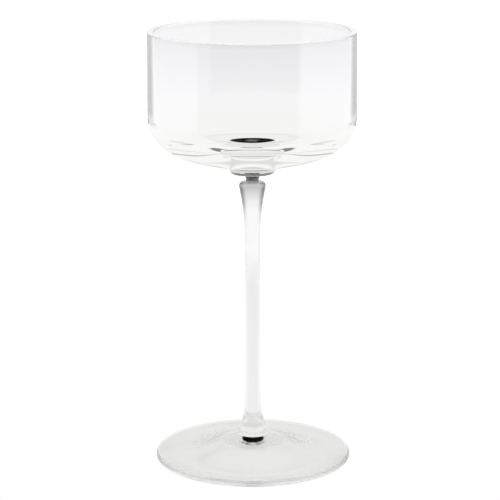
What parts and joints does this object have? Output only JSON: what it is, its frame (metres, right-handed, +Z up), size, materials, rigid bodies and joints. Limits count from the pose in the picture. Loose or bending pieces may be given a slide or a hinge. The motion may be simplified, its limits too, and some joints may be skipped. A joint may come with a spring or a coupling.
{
  "type": "cocktail glass",
  "caption": "Tall stemmed coupe in clear glass: straight-sided bowl with a rounded heel and thick base, bevelled wafer, tapered stem and wide shallow foot, for serving cocktails.",
  "frame": {"origin": "centre of the resting ring under the foot, on the surface that the glass stands on", "axes": "+Z up along the axis of the stem, X and Y across the round bowl"},
  "size_m": [0.0904, 0.0904, 0.1914],
  "materials": {
    "bowl_glass": "clear, fire-polished, blown to a smooth gloss",
    "stem_glass": "clear, drawn and pressed, smooth gloss",
    "foot_glass": "clear, spun flat, smooth gloss with a fire-polished edge"
  },
  "bodies": {
    "root": {"foot": "foot_glass", "stem_button": "stem_glass", "stem": "stem_glass", "merese": "stem_glass", "bowl": "bowl_glass"}
  },
  "joints": []
}
